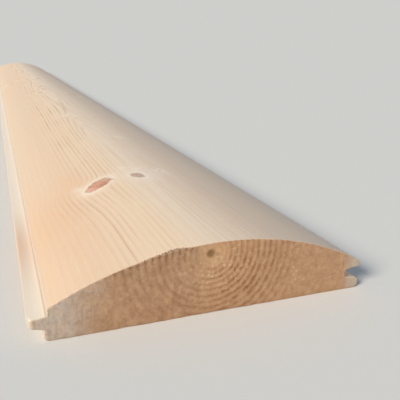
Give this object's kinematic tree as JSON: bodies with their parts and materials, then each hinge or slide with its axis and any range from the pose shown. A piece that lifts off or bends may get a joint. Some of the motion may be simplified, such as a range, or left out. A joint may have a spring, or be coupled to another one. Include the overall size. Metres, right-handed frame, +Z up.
{
  "type": "log cabin siding board",
  "caption": "Softwood siding board with a round log-like face, a flat back, a tongue along one edge and a groove along the other, lying on its back.",
  "frame": {"origin": "centre of the footprint, on the plane of the flat back", "axes": "+X across the board from the tongue to the groove, +Y along the board away from the end with the worn tongue corner, +Z up out of the round face"},
  "size_m": [0.185, 2, 0.0398],
  "materials": {
    "planed_softwood": "planed, untreated"
  },
  "bodies": {
    "root": {"siding_board": "planed_softwood"}
  },
  "joints": []
}
